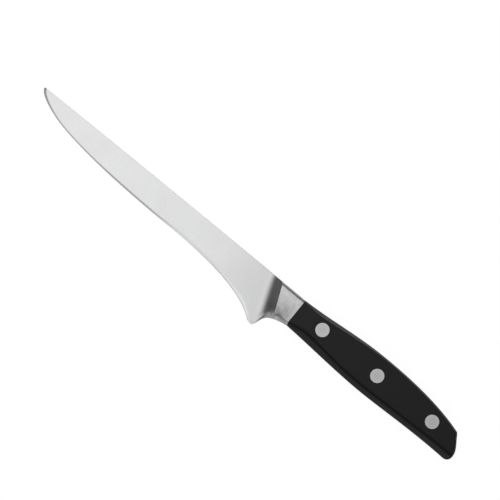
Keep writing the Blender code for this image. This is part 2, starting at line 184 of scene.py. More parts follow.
handle = {
    "thickness": 0.0145,
    "tang": 0.0030,
    "step": 0.00005,                      # scales lie this far inside the bolster's outline
    "backApexAt": 0.0500,
    "backApex": 0.0030,
    "bellyApexAt": 0.0520,
    "bellyApex": -0.0190,
    "buttCornerAt": 0.0065,               # the back's corner, from the end of the butt
    "buttCorner": -0.0032,
    "buttTurn": (0.0016, 0.0017),         # how far its rounding reaches, back and down
    "buttNose": -0.0148,                  # y of the butt's furthest point
    "buttFlat": 0.0008,
    "buttFootAt": 0.0035,
    "buttFoot": -0.01845,
    "flareLength": 0.0120,
    "facetFront": 0.0041,                 # height of the slanting facet along the belly
    "facetHeight": 0.0033,
    "facetSettle": 0.0380,
    "facetButt": 0.0039,
    "facetRise": 0.0250,
    "chamferFront": 0.0020,
    "chamfer": 0.0010,
    "chamferSettle": 0.0600,
    "creaseRound": 0.0012,
    "creaseWidth": 0.0009,
    "creaseFade": 0.0012,                 # the crease is softest just behind the joint
    "fadeIn": (0, 0.003),
    "fadeOut": (0.005, 0.014),
    "rimRound": 0.00030,
    "backRound": 0.00014,
    "bellyRound": 0.00045,
}

forgingLow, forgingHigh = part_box("blade_with_tang")
scaleGap = 0.0003                         # the CAD scale stands this far off the bolster
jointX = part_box("scale_left")[0].x - scaleGap - forgingLow.x
buttX = forgingHigh.x - forgingLow.x
jointTop, jointBottom = -0.0003, -0.01645  # y of the spine and of the belly at the joint
knifeOrigin = Vector((forgingLow.x, cadHigh.y - handle["backApex"], (cadLow.z + cadHigh.z) / 2))
halfBolster = bolster["thickness"] / 2
halfHandle = handle["thickness"] / 2
halfTang = handle["tang"] / 2


def spineLine():
    third = jointX / 3
    crown = blade["spineCrown"]
    return bezier((0, 0), (third, crown), (2 * third, crown), (jointX, jointTop))


def edgeLine():
    sweepEnd = (blade["sweepLength"], -blade["sweepDepth"])
    waist = (blade["waistAt"], -blade["waistDepth"])
    heelStart = (blade["length"] - blade["heelCorner"], -blade["heelDepth"])
    run, fall = waist[0] - sweepEnd[0], sweepEnd[1] - waist[1]
    dropRun, dropFall = heelStart[0] - waist[0], waist[1] - heelStart[1]
    sweep = bezier(
        (0, -blade["tipHeight"]),
        (0, 0.41 * sweepEnd[1]),
        (0.615 * sweepEnd[0], 0.847 * sweepEnd[1]),
        sweepEnd,
    )
    middle = bezier(
        sweepEnd,
        (sweepEnd[0] + 0.25 * run, sweepEnd[1] - 0.73 * fall),
        (waist[0] - 0.38 * run, waist[1]),
        waist,
    )
    drop = bezier(
        waist,
        (waist[0] + 0.42 * dropRun, waist[1]),
        (heelStart[0] - 0.20 * dropRun, heelStart[1] + 0.81 * dropFall),
        heelStart,
    )
    return joinCurves(sweep, middle, drop)


def heelLine():
    corner, deep = blade["heelCorner"], -blade["heelDepth"]
    return bezier(
        (blade["length"] - corner, deep),
        (blade["length"] - 0.76 * corner, deep - blade["heelHang"][0]),
        (blade["length"] + blade["heelPull"], deep - blade["heelHang"][1]),
        (blade["length"] + blade["heelBack"], deep),
    )


def choilLine():
    # the hollow behind the heel, where the forefinger lies
    startX, deep = blade["length"] + blade["heelBack"], -blade["heelDepth"]
    rise, run = jointBottom - deep, jointX - startX
    return bezier(
        (startX, deep),
        (startX + 0.204 * run, deep + 0.466 * rise),
        (startX + 0.033 * run, deep + 0.784 * rise),
        (jointX, jointBottom),
        samples=240,
    )


def backLine():
    apex = (jointX + handle["backApexAt"], handle["backApex"])
    corner = (buttX - handle["buttCornerAt"], handle["buttCorner"])
    startY = jointTop - handle["step"]
    fall = corner[0] - apex[0]
    rise = bezier(
        (jointX, startY),
        (jointX + 0.36 * handle["backApexAt"], startY + 0.0005),
        (jointX + 0.64 * handle["backApexAt"], apex[1]),
        apex,
    )
    decline = bezier(
        apex,
        (apex[0] + 0.38 * fall, apex[1]),
        (corner[0] - 0.28 * fall, corner[1] + 0.0045),
        corner,
    )
    turnRun, turnFall = handle["buttTurn"]
    cornerEnd = (corner[0] + turnRun, corner[1] - turnFall)
    turn = bezier(
        corner,
        (corner[0] + 0.0006, corner[1] - 0.0002),
        (corner[0] + 0.0012, corner[1] - 0.0010),
        cornerEnd,
    )
    noseTop = handle["buttNose"] + handle["buttFlat"] / 2
    end = bezier(
        cornerEnd,
        (cornerEnd[0] + 0.0023, cornerEnd[1] - 0.0035),
        (buttX, noseTop + 0.0032),
        (buttX, noseTop),
    )
    return joinCurves(rise, decline, turn, end)


def creaseBase():
    # the handle's lower outline, carried straight on at the butt: the facet's crease runs along it
    footX = buttX - handle["buttFootAt"]
    apex = (jointX + handle["bellyApexAt"], handle["bellyApex"])
    startY = jointBottom + handle["step"]
    swell = bezier(
        (jointX, startY),
        (jointX + 0.35 * handle["bellyApexAt"], startY - 0.0008),
        (jointX + 0.69 * handle["bellyApexAt"], apex[1]),
        apex,
    )
    run = footX - apex[0]
    hollow = bezier(
        apex,
        (apex[0] + 0.26 * run, apex[1]),
        (apex[0] + 0.60 * run, handle["buttFoot"] + 0.0009),
        (footX, handle["buttFoot"]),
    )
    return joinCurves(swell, hollow, np.array([(footX, handle["buttFoot"]), (buttX, handle["buttFoot"])]))


def bellyLine():
    footX = buttX - handle["buttFootAt"]
    base = creaseBase()
    noseBottom = handle["buttNose"] - handle["buttFlat"] / 2
    toe = bezier(
        (footX, handle["buttFoot"]),
        (footX + 0.66 * handle["buttFootAt"], handle["buttFoot"] - 0.0001),
        (buttX, noseBottom - 0.0019),
        (buttX, noseBottom),
    )
    return joinCurves(base[base[:, 0] < footX], toe)


spine, edge, heel, choil = spineLine(), edgeLine(), heelLine(), choilLine()
back, crease, belly = backLine(), creaseBase(), bellyLine()
underside = joinCurves(edge, heel, choil)
edgeAhead = np.vstack([edge, edge[-1] + (edge[-1] - edge[-2]) * 60])  # carried straight on past the heel
print("outlines drawn")


# how thick the forging is, from the middle plane to its side

hollowStart = jointX - bolster["hollowBefore"]
# a rounding takes at most this share of the half thickness
mostRound = {"crease": 0.3, "choil": 0.5, "heel": 0.7, "spine": 0.6}


def inThree(x, values, changes):
    # one value in front, one at the middle and one at the heel, with smooth changes between them
    front, middle, rear = values
    return front + (middle - front) * ease(x, *changes[0]) + (rear - middle) * ease(x, *changes[1])


def grindSlope(x):
    return inThree(x, blade["grind"], blade["grindChange"])


def flatHalf(x, y):
    taper = (blade["spineAtHeel"] - blade["spineAtTip"]) / 2 / blade["length"]
    return blade["spineAtTip"] / 2 + taper * x + grindSlope(x) * y


def bevelSlope(x):
    return inThree(x, blade["bevel"], blade["bevelChange"])


def honedHalf(x):
    return blade["edgeThickness"] / 2 + blade["honed"] * ease(x, *blade["honedFrom"])


def bevelHalf(x, y):
    away = np.maximum(y - heightOf(edgeAhead, x), 0) / np.hypot(1, slopeOf(edge, x))
    bevel = honedHalf(x) + away * bevelSlope(x)
    bevel = np.minimum(bevel, blade["edgeThickness"] / 2 + away * blade["honedSlope"])
    return np.where(away < blade["bevelReach"], bevel, halfBolster)


def hollowHalf(x, y):
    most, depth = bolster["hollowLate"]
    late = most * np.clip(1 + y / depth, 0, 1) ** 2
    run = np.maximum(x + bolster["hollowLean"] * y - hollowStart - late, 0) / (bolster["hollowRun"] - late)
    return flatHalf(x, y) + bolster["hollowClimb"] * run ** bolster["hollowPower"]


def rollShare(x):
    return ease(x, jointX, jointX - bolster["rollEnd"])


def bolsterHalf(x, y):
    top = halfBolster - bolster["topSlope"] * (bolster["topChamfer"] - heightOf(spine, x) + y)
    inward = np.clip(1 - distanceTo(choil, x, y) / bolster["rollWidth"], 0, 1)
    roll = bolster["rollDepth"] * inward ** 2 * rollShare(x)
    return softMin(top, halfBolster - roll, bolster["chamferRound"])


def bellyChamfered(x, y, half):
    # the chamfer along the hollow behind the heel, less deep where the forging is thin
    away, atX = nearestOn(choil, x, y)
    atY = heightOf(choil, atX)
    full = softMin(hollowHalf(atX, atY), halfBolster, bolster["footRound"])
    deepest = bolster["bellyChamfer"][0] + bolster["bellyChamfer"][1] * rollShare(atX)
    thinDepth = bolster["bellyChamferShare"] * np.maximum(full - bolster["bellyThinnest"], 0)
    depth = np.maximum(softMin(deepest, thinDepth, bolster["footRound"]), 0)
    least, thin, thick = bolster["thinSlope"]
    slope = least + (1 - least) * ease(full, thin, thick)
    rounding = bolster["chamferRound"] + bolster["creaseRound"] * rollShare(atX)
    rounding = np.minimum(rounding, mostRound["crease"] * full)
    chamfered = softMin(half, full - depth + slope * away, rounding)
    edgeRound = np.minimum(bolster["edgeRound"], mostRound["choil"] * chamfered)
    chamfered = chamfered - roundOver(away, edgeRound)
    return np.where(x > blade["length"] - bolster["chamferBefore"], chamfered, half)


def forgingHalf(x, y):
    half = softMin(hollowHalf(x, y), bolsterHalf(x, y), bolster["ridgeRound"])
    half = bellyChamfered(x, y, half)
    nearHeel = x > blade["length"] - blade["heelRoundBefore"]
    fromHeel = np.where(nearHeel, distanceTo(heel, x, y), 1.0)
    half = half - roundOver(fromHeel, np.minimum(blade["heelRound"], mostRound["heel"] * half))
    half = softMin(half, bevelHalf(x, y), blade["bevelRound"])
    fromSpine = np.maximum(heightOf(spine, x) - y, 0)
    return half - roundOver(fromSpine, np.minimum(blade["spineRound"], mostRound["spine"] * half))


# building meshes

def placed(x, y, z):
    # a point of the forging or of a scale, moved back where the joint slants
    low = ease(y, jointBottom + bolster["bellyChamfer"][0] + bolster["slantAbove"], jointBottom)
    near = 1 - ease(abs(x - jointX), 0, bolster["slantReach"])
    return Vector((x + bolster["slant"] * low * near, y, z))


def coated(mesh, *materials):
    for material in materials:
        mesh.materials.append(material)
    return mesh


def newPiece(name, mesh, node, centre=(0, 0)):
    piece = bpy.data.objects.new(name, mesh)
    bpy.context.scene.collection.objects.link(piece)
    piece.modifiers.new("evenShading", "WEIGHTED_NORMAL").keep_sharp = True
    piece.location = knifeOrigin + Vector((*centre, 0))
    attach(piece, "root")
    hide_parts(node)


def smoothed(mesh, sharpAngle=32):
    mesh.shade_smooth()
    mesh.set_sharp_from_angle(angle=math.radians(sharpAngle))
    return mesh


def meshFrom(built, name):
    bmesh.ops.recalc_face_normals(built, faces=built.faces)
    mesh = bpy.data.meshes.new(name)
    built.to_mesh(mesh)
    built.free()
    return smoothed(mesh)


def skinOver(name, sections, bandOf=None):
    # a closed skin over sections that all have as many points
    built = bmesh.new()
    loops = [[built.verts.new(point) for point in section] for section in sections]
    for station, (loop, following) in enumerate(zip(loops, loops[1:])):
        for i in range(len(loop)):
            face = built.faces.new((loop[i - 1], loop[i], following[i], following[i - 1]))
            if bandOf:
                face.material_index = bandOf(station, i)
    built.faces.new(loops[0])
    built.faces.new(loops[-1])
    return meshFrom(built, name)


def turned(name, profile, centres=((0, 0),), steps=96):
    # a profile of (radius, z) spun round Z at each centre; it starts and ends on the axis
    built = bmesh.new()
    for centre in centres:
        points = [built.verts.new((centre[0] + radius, centre[1], z)) for radius, z in profile]
        line = [built.edges.new(pair) for pair in zip(points, points[1:])]
        bmesh.ops.spin(
            built, geom=points + line, cent=(*centre, 0), axis=(0, 0, 1),
            angle=2 * math.pi, steps=steps, use_merge=True,
        )
    bmesh.ops.remove_doubles(built, verts=built.verts, dist=1e-6)
    return meshFrom(built, name)


def bored(mesh, profile, centres):
    # the mesh that is left when turned plugs are taken out of it
    blank = bpy.data.objects.new("blank", mesh)
    plugs = bpy.data.objects.new("plugs", turned("plugs", profile, centres))
    for obj in (blank, plugs):
        bpy.context.scene.collection.objects.link(obj)
    holes = blank.modifiers.new("holes", "BOOLEAN")
    holes.operation = "DIFFERENCE"
    holes.solver = "EXACT"
    holes.object = plugs
    graph = bpy.context.evaluated_depsgraph_get()
    left = bpy.data.meshes.new_from_object(blank.evaluated_get(graph))
    left.name = mesh.name
    for obj in (blank, plugs):
        bpy.data.objects.remove(obj)
    return smoothed(left)


# materials

def addNode(tree, kind, inputs=(), **settings):
    # makes a node; its inputs are either numbers or the sockets that feed them
    node = tree.nodes.new(kind)
    for key, value in settings.items():
        setattr(node, key, value)
    for socket, value in dict(inputs).items():
        if isinstance(value, bpy.types.NodeSocket):
            tree.links.new(value, node.inputs[socket])
        else:
            node.inputs[socket].default_value = value
    return node


def newMaterial(name, shaderInputs):
    made = bpy.data.materials.new(name)
    made.use_nodes = True
    shader = made.node_tree.nodes["Principled BSDF"]
    for socket, value in shaderInputs.items():
        shader.inputs[socket].default_value = value
    return made, made.node_tree, shader


def noiseOver(tree, stretch, detail=3, roughness=0.55, turn=0):
    # noise that varies so many times a metre along x, y and z
    place = addNode(tree, "ShaderNodeTexCoord")
    mapped = addNode(tree, "ShaderNodeMapping", {
        "Vector": place.outputs["Object"], "Rotation": (0, 0, turn), "Scale": stretch,
    })
    noise = addNode(tree, "ShaderNodeTexNoise", {
        "Vector": mapped.outputs["Vector"], "Scale": 1, "Detail": detail, "Roughness": roughness,
    })
    return noise.outputs["Fac"]


def spread(tree, value, low, high, fromLow=0.3, fromHigh=0.7):
    mapped = addNode(tree, "ShaderNodeMapRange", {
        "Value": value, "From Min": fromLow, "From Max": fromHigh, "To Min": low, "To Max": high,
    })
    return mapped.outputs["Result"]


def combine(tree, how, a, b):
    return addNode(tree, "ShaderNodeMath", {0: a, 1: b}, operation=how).outputs[0]


def tinted(tree, colour, factor):
    return addNode(tree, "ShaderNodeVectorMath", {0: colour, "Scale": factor}, operation="SCALE").outputs[0]


def raised(tree, layers):
    # bump layers of (height, depth in metres), one over the other
    normal = None
    for height, depth in layers:
        inputs = {"Height": height, "Distance": depth, "Strength": 1}
        if normal:
            inputs["Normal"] = normal
        normal = addNode(tree, "ShaderNodeBump", inputs).outputs["Normal"]
    return normal


satin = {
    "colour": (0.695, 0.697, 0.702),
    "roughness": (0.27, 0.34),
    "grain": (3200, 90, 3200),            # times a metre: fine lines across the blade
    "grainDepth": 0.0000040,
    "grainShade": (0.975, 1.015),
    "cloud": (55, 55, 55),
    "cloudShade": (0.975, 1.015),
    # painted shade, brighter at the tip than at the bolster: shade at two places, and x of each
    "alongPaintedShade": ((1.14, 1.105, 0, 0.125), (1, 0.87, 0.125, 0.153)),
    # the bolster is duller and patchy, and painted shade darkens it most of all low on its side
    "dullFrom": (-0.002, 0.004),          # x from the heel's corner
    "mottle": (330, 330, 330),
    "mottleShade": (-0.20, 0.01),
    "lowPaintedShade": (0, -0.36, -0.0045, -0.0140),  # two painted shades, and y of each
    "lowestShare": (1, 0.10, -0.0138, -0.0156),  # less of it again near the belly
    "jointShare": (1, 0.60, -0.0028, -0.0008),  # and near the joint, with x from there
}


def satinSteel():
    made, tree, shader = newMaterial("satinSteel", {"Metallic": 1.0})
    grain = noiseOver(tree, satin["grain"], detail=4, roughness=0.6)
    cloud = noiseOver(tree, satin["cloud"])
    mottle = noiseOver(tree, satin["mottle"], detail=2)
    place = addNode(tree, "ShaderNodeTexCoord").outputs["Object"]
    parts = addNode(tree, "ShaderNodeSeparateXYZ", {0: place}).outputs
    dullStart, dullEnd = satin["dullFrom"]
    atBolster = spread(tree, parts["X"], 0, 1, blade["length"] + dullStart, blade["length"] + dullEnd)
    # painted shade, darker low on the bolster's side
    low = spread(tree, parts["Y"], *satin["lowPaintedShade"])
    low = combine(tree, "MULTIPLY", low, spread(tree, parts["Y"], *satin["lowestShare"]))
    whole, least, shareStart, shareEnd = satin["jointShare"]
    nearJoint = spread(tree, parts["X"], whole, least, jointX + shareStart, jointX + shareEnd)
    low = combine(tree, "MULTIPLY", low, nearJoint)
    # random mottle, plus the painted shade low on the side
    mottleAndPaintedShade = combine(tree, "ADD", spread(tree, mottle, *satin["mottleShade"]), low)
    grainShade = spread(tree, grain, *satin["grainShade"])
    shade = combine(tree, "MULTIPLY", grainShade, spread(tree, cloud, *satin["cloudShade"]))
    shade = combine(tree, "ADD", shade, combine(tree, "MULTIPLY", atBolster, mottleAndPaintedShade))
    # painted shade along the blade, darker towards the bolster
    for first, last, start, end in satin["alongPaintedShade"]:
        shade = combine(tree, "MULTIPLY", shade, spread(tree, parts["X"], first, last, start, end))
    tree.links.new(tinted(tree, satin["colour"], shade), shader.inputs["Base Color"])
    tree.links.new(spread(tree, grain, *satin["roughness"]), shader.inputs["Roughness"])
    tree.links.new(raised(tree, [(grain, satin["grainDepth"])]), shader.inputs["Normal"])
    return made


ground = {
    "colour": (0.745, 0.747, 0.750),
    "roughness": (0.22, 0.30),
    "lines": (1500, 40, 1500),            # coarser lines left by the grinding belt
    "lineShade": (0.91, 1.05),
    "lineDepth": 0.0000060,
}


def groundEdge():
    made, tree, shader = newMaterial("groundEdge", {"Metallic": 1.0})
    lines = noiseOver(tree, ground["lines"], detail=5, roughness=0.7)
    shade = spread(tree, lines, *ground["lineShade"])
    tree.links.new(tinted(tree, ground["colour"], shade), shader.inputs["Base Color"])
    tree.links.new(spread(tree, lines, *ground["roughness"]), shader.inputs["Roughness"])
    tree.links.new(raised(tree, [(lines, ground["lineDepth"])]), shader.inputs["Normal"])
    return made


plastic = {
    "colour": (0.0075, 0.0075, 0.0080),
    "ior": 1.48,
    "specular": 0.26,
    "sandedAndSheen": (0.065, 0.065, 0.066),      # sanded edges and painted highlight, where the edges were sanded flush with the tang
    "sandedSheenFrom": 0.75,                   # this share of the back's chamfer is fully sanded and lightened by painted highlight
    "sandedSheenPatchy": (0.75, 1.15),
    "facetSheen": 0.12,                  # painted highlight: the belly's facet is a little lighter
    "facetBelow": (0.0004, 0.0012),       # from so far below its crease
    "creasePaintedShade": 0.25,                  # painted shade darkens the facet's crease
    "creaseFrom": (0.004, 0.012),         # from so far behind the joint
    "roughness": (0.30, 0.38),
    "pores": (4200, 4200, 4200),
    "poreDepth": 0.000010,
    "ripples": (700, 700, 700),
    "rippleDepth": 0.000012,
}


def blackAcetal():
    made, tree, shader = newMaterial("blackAcetal", {
        "Metallic": 0.0, "IOR": plastic["ior"], "Specular IOR Level": plastic["specular"],
    })
    pores = noiseOver(tree, plastic["pores"], detail=2)
    ripples = noiseOver(tree, plastic["ripples"], detail=2)
    # sanded edges with painted highlight on them, and painted highlight on the belly's facet
    sandedAndSheen = addNode(tree, "ShaderNodeAttribute", attribute_name="sandedAndSheen").outputs["Fac"]
    patchy = combine(tree, "MULTIPLY", sandedAndSheen, spread(tree, ripples, *plastic["sandedSheenPatchy"]))
    colour = addNode(tree, "ShaderNodeMixRGB", {
        "Fac": patchy, "Color1": (*plastic["colour"], 1), "Color2": (*plastic["sandedAndSheen"], 1),
    })
    # painted shade along the facet's crease
    paintedCreaseShade = addNode(tree, "ShaderNodeAttribute", attribute_name="crease").outputs["Fac"]
    shade = spread(tree, paintedCreaseShade, 1, plastic["creasePaintedShade"], 0, 1)
    tree.links.new(tinted(tree, colour.outputs["Color"], shade), shader.inputs["Base Color"])
    tree.links.new(spread(tree, pores, *plastic["roughness"]), shader.inputs["Roughness"])
    layers = [(ripples, plastic["rippleDepth"]), (pores, plastic["poreDepth"])]
    tree.links.new(raised(tree, layers), shader.inputs["Normal"])
    return made


# the forging: blade, bolster and tang

# rows up a side: at shares of the low and of the high turn in the shape, and evenly between them
lowShares = np.array([0, 0.03, 0.08, 0.17, 0.28, 0.4, 0.52, 0.64, 0.76, 0.88, 1.0, 1.1, 1.25, 1.45, 1.7])
highShares = np.array([1.3, 1.12, 1.04, 1.0, 0.96, 0.88, 0.7, 0.45, 0.2, 0.13, 0.07, 0.03, 0])
middleRows = 16
lowMost, highMost = 0.32, 0.30            # no turn is further in than this share of the side
shoulderRow = int(np.argmin(abs(lowShares - 1)))  # the row along the top of the bevel

sectionCount = {                          # how many sections each stretch has
    "point": 24,                          # the first half of the edge's rise to the point
    "edge": 170,
    "heel": 16,
    "hollow": 40,
    "bolsterSide": 24,
    "flare": 34,
    "tang": 46,
    "scale": 90,
    "butt": 46,
}


def climb(start, end, first, last):
    # points from the belly to the spine, close together where the shape turns
    start, end = np.array(start), np.array(end)
    length = np.hypot(*(end - start))
    low = min(first, lowMost * length) * lowShares
    high = length - min(last, highMost * length) * highShares
    middle = np.linspace(low[-1], high[0], middleRows + 2)[1:-1]
    return start + (np.concatenate([low, middle, high]) / length)[:, None] * (end - start)


def ring(points, half):
    left = [placed(x, y, z) for (x, y), z in zip(points, half)]
    right = [placed(x, y, -z) for (x, y), z in zip(points, half)]
    return left + right[::-1]


def bevelShoulder(x, y, lowest=0.0001, highest=0.0045):
    # height above the edge at which the bevel meets the flat
    rise = bevelSlope(x) / math.hypot(1, slopeOf(edge, x)) - grindSlope(x)
    return float(np.clip((flatHalf(x, y) - honedHalf(x)) / rise, lowest, highest))


leant = underside[:, 0] + bolster["hollowLean"] * underside[:, 1]
hollowFoot = np.interp(hollowStart, leant, underside[:, 0])  # x on the underside where the hollow starts


def bladeSections(pointSamples=40, gap=0.0002, leanBefore=0.003):
    # the columns lean over as they near the heel, and the last ones lie along the hollow's start
    point = alongCurve(edge[:pointSamples], sectionCount["point"])
    along = alongCurve(edge[pointSamples - 1:], sectionCount["edge"])
    outline = joinCurves(point, along, alongCurve(heel, sectionCount["heel"]))
    sections = []
    for x, y in outline[outline[:, 0] < hollowFoot - gap]:
        lean = bolster["hollowLean"] * ease(x, blade["waistAt"], hollowFoot - leanBefore)
        topX = x + lean * y
        grown = ease(x, *blade["columnsWiden"])
        last = blade["spineRound"] + grown * (bolster["topChamfer"] - blade["spineRound"])
        points = climb((x, y), (topX, heightOf(spine, topX)), bevelShoulder(x, y), last)
        sections.append(ring(points, forgingHalf(points[:, 0], points[:, 1])))
    return sections


def bolsterColumn(share):
    x = hollowFoot + share * (jointX - hollowFoot)
    topX = hollowStart + share * (jointX - hollowStart)
    start, end = (x, heightOf(underside, x)), (topX, heightOf(spine, topX))
    return climb(start, end, sum(bolster["bellyChamfer"]), bolster["topChamfer"])


def bolsterSections(samples=500, ridgeBand=0.0004, untilRidge=0.985):
    # the columns crowd together at the ridge, which each row meets at its own place
    shares = np.linspace(0, 1, samples)
    paths = np.array([bolsterColumn(share) for share in shares])
    x, y = paths[..., 0], paths[..., 1]
    below = hollowHalf(x, y) < bolsterHalf(x, y)
    ridge = shares[below.sum(axis=0).clip(1, len(shares) - 2)]
    near = ridgeBand / (jointX - hollowStart)
    columns = [ridge * step for step in np.linspace(0, untilRidge, sectionCount["hollow"])]
    columns += [ridge + near * step for step in (-0.5, -0.25, 0, 0.25, 0.5, 1)]
    behind = np.linspace(0, 1, sectionCount["bolsterSide"])[1:]
    columns += [ridge + near + (1 - ridge - near) * step for step in behind]
    rows = np.arange(paths.shape[1])
    sections = []
    for column in columns:
        place = np.clip(column, 0, 1) * (len(shares) - 1)
        before = np.minimum(place.astype(int), len(shares) - 2)
        part = (place - before)[:, None]
        points = paths[before, rows] * (1 - part) + paths[before + 1, rows] * part
        sections.append(ring(points, forgingHalf(points[:, 0], points[:, 1])))
    return sections


def handleStations(straightSteps, flareEnd=0.016, cornerBefore=0.001):
    # x of each section: close together behind the bolster and round the butt
    cornerAt = buttX - jointX - handle["buttCornerAt"] - cornerBefore
    swing = (1 - np.cos(np.linspace(0, math.pi, sectionCount["butt"])[1:])) / 2
    flare = np.linspace(0, flareEnd, sectionCount["flare"])
    straight = np.linspace(flareEnd, cornerAt, straightSteps)[1:]
    butt = cornerAt + (buttX - jointX - cornerAt) * swing
    return jointX + np.concatenate([flare, straight, butt])


def tangSections(turnDepth=0.0006):
    sections = []
    for x in handleStations(sectionCount["tang"]):
        points = climb((x, heightOf(belly, x)), (x, heightOf(back, x)), turnDepth, turnDepth)
        sections.append(ring(points, np.full(len(points), halfTang)))
    return sections


rivet = {
    "headDepth": 0.0020,
    "sink": 0.00005,                      # heads lie this far below the scales' faces
    "tubeDiameter": 0.0050,
    "pinDiameter": 0.0026,
    "boreDiameter": 0.00268,
    "pinEnd": 0.0010,                     # from the pin's end to the floor of the tube
    "mouthGap": 0.0001,                   # from the tube's mouth to the pin's head
    "edgeRound": 0.00012,
    "edgeSteps": 5,
    "holeGap": 0.00002,
}
rivetPlaces = ("front", "middle", "rear")
holeOverrun = 0.001                       # how far a plug passes the face that it cuts


def rivetCentre(place):
    low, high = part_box("rivet_pin_" + place)
    return ((low + high) / 2 - knifeOrigin).xy


headLow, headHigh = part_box("rivet_pin_front")
headRadius = (headHigh.x - headLow.x) / 2
rivetCentres = [tuple(rivetCentre(place)) for place in rivetPlaces]


def buildForging():
    sections = bladeSections() + bolsterSections() + tangSections()
    rows = len(sections[0]) // 2

    def band(station, i):
        row = i if i < rows else 2 * rows - i
        inFront = sections[station][0].x < blade["length"] - blade["heelCorner"]
        return int(inFront and 0 < row <= shoulderRow)

    mesh = coated(skinOver("bladeForging", sections, band), satinSteel(), groundEdge())
    radius = rivet["tubeDiameter"] / 2 + rivet["holeGap"]
    end = halfTang + holeOverrun
    mesh = bored(mesh, [(0, end), (radius, end), (radius, -end), (0, -end)], rivetCentres)
    newPiece("bladeForging", mesh, "blade_with_tang")


# the scales

def swelling(x, start, front, rest, settle):
    near = start + (front - start) * ease(x - jointX, 0, handle["flareLength"])
    return near + (rest - front) * ease(x - jointX, handle["flareLength"], settle)


def facetHeight(x):
    rise = (handle["facetButt"] - handle["facetHeight"]) * ease(x, buttX - handle["facetRise"], buttX)
    return rise + swelling(
        x, bolster["bellyChamfer"][0], handle["facetFront"], handle["facetHeight"], handle["facetSettle"]
    )


def backChamfer(x):
    return swelling(
        x, bolster["topChamfer"], handle["chamferFront"], handle["chamfer"], handle["chamferSettle"]
    )


def creaseHeight(x):
    return heightOf(crease, x) + facetHeight(x)


def scaleHalf(x, y):
    behind = x - jointX
    grown = ease(behind, 0, handle["flareLength"])
    face = halfBolster + (halfHandle - halfBolster) * grown
    facet = face - (creaseHeight(x) - y)
    fromBack = distanceTo(back, x, y)
    slope = bolster["topSlope"] + (1 - bolster["topSlope"]) * grown
    chamfer = face - slope * (backChamfer(x) - fromBack)
    fading = ease(behind, *handle["fadeIn"]) * (1 - ease(behind, *handle["fadeOut"]))
    corner = bolster["chamferRound"] + grown * (handle["creaseRound"] - bolster["chamferRound"])
    corner = corner + handle["creaseFade"] * fading
    half = softMin(softMin(facet, face, corner), chamfer, handle["rimRound"])
    half = half - roundOver(fromBack, handle["backRound"])
    return half - roundOver(distanceTo(belly, x, y), handle["bellyRound"])


def scaleSection(x, side, leastFacet=0.05, mostFacet=0.4):
    # one closed loop: up the outer side and back along the tang; side is 1 for left and -1 for right
    bottom, top = float(heightOf(belly, x)), float(heightOf(back, x))
    tall = top - bottom
    facetTop = np.clip(creaseHeight(x) - bottom, leastFacet * tall, mostFacet * tall)
    rim = backChamfer(x) * math.hypot(1, slopeOf(back, x))
    ys = climb((x, bottom), (x, top), facetTop, rim)[:, 1]
    zs = scaleHalf(np.full_like(ys, x), ys)
    loop = [placed(x, y, side * z) for y, z in zip(ys, zs)]
    return loop + [placed(x, top, side * halfTang), placed(x, bottom, side * halfTang)]


def markSandingAndPaintedLight(mesh):
    # how much each point was sanded and given a painted highlight: fully on the back's chamfer, a little on
    # the belly's facet; and the painted shade along the facet's crease
    x, y = np.array([vertex.co.xy for vertex in mesh.vertices]).T
    rim = backChamfer(x)
    onBack = 1 - ease(distanceTo(back, x, y), plastic["sandedSheenFrom"] * rim, rim)
    above = y - creaseHeight(x)
    onFacet = plastic["facetSheen"] * ease(-above, *plastic["facetBelow"])
    # painted shade along the facet's crease
    paintedCreaseShade = np.exp(-(above / handle["creaseWidth"]) ** 2) * ease(x - jointX, *plastic["creaseFrom"])
    for name, values in (("sandedAndSheen", np.maximum(onBack, onFacet)), ("crease", paintedCreaseShade)):
        mesh.attributes.new(name, "FLOAT", "POINT").data.foreach_set("value", values.astype(np.float32))


def buildScale(name, node, side, finish):
    sections = [scaleSection(x, side) for x in handleStations(sectionCount["scale"])]
    mesh = coated(skinOver(name, sections), finish)
    head = headRadius + rivet["holeGap"]
    tube = rivet["tubeDiameter"] / 2 + rivet["holeGap"]
    outside = halfHandle + holeOverrun
    seat = halfHandle - rivet["sink"] - rivet["headDepth"]
    inside = halfTang - holeOverrun
    profile = [(0, outside), (head, outside), (head, seat), (tube, seat), (tube, inside), (0, inside)]
    mesh = bored(mesh, [(radius, side * z) for radius, z in profile], rivetCentres)
    markSandingAndPaintedLight(mesh)
    newPiece(name, mesh, node)


# the rivets

rivetFinish = {
    "colour": (0.560, 0.560, 0.562),
    "roughness": (0.30, 0.38),
    "lines": (2600, 120, 2600),
    "lineShade": (0.97, 1.02),
    "lineDepth": 0.0000035,
    "turn": math.radians(35),
    "cloud": (420, 420, 420),
    "cloudShade": (0.96, 1.03),
    "rimShade": (0.97, 1.06),
    "rimFrom": (0.35, 0.95),              # shares of the head's radius
}


def rivetSteel():
    made, tree, shader = newMaterial("rivetSteel", {"Metallic": 1.0})
    lines = noiseOver(tree, rivetFinish["lines"], detail=4, turn=rivetFinish["turn"])
    cloud = noiseOver(tree, rivetFinish["cloud"], detail=2)
    place = addNode(tree, "ShaderNodeTexCoord").outputs["Object"]
    flat = addNode(tree, "ShaderNodeVectorMath", {0: place, 1: (1, 1, 0)}, operation="MULTIPLY").outputs[0]
    radius = addNode(tree, "ShaderNodeVectorMath", {0: flat}, operation="LENGTH").outputs["Value"]
    rimStart, rimEnd = (share * headRadius for share in rivetFinish["rimFrom"])
    rim = spread(tree, radius, *rivetFinish["rimShade"], rimStart, rimEnd)
    shade = combine(tree, "MULTIPLY", rim, spread(tree, lines, *rivetFinish["lineShade"]))
    shade = combine(tree, "MULTIPLY", shade, spread(tree, cloud, *rivetFinish["cloudShade"]))
    tree.links.new(tinted(tree, rivetFinish["colour"], shade), shader.inputs["Base Color"])
    tree.links.new(spread(tree, cloud, *rivetFinish["roughness"]), shader.inputs["Roughness"])
    tree.links.new(raised(tree, [(lines, rivetFinish["lineDepth"])]), shader.inputs["Normal"])
    return made


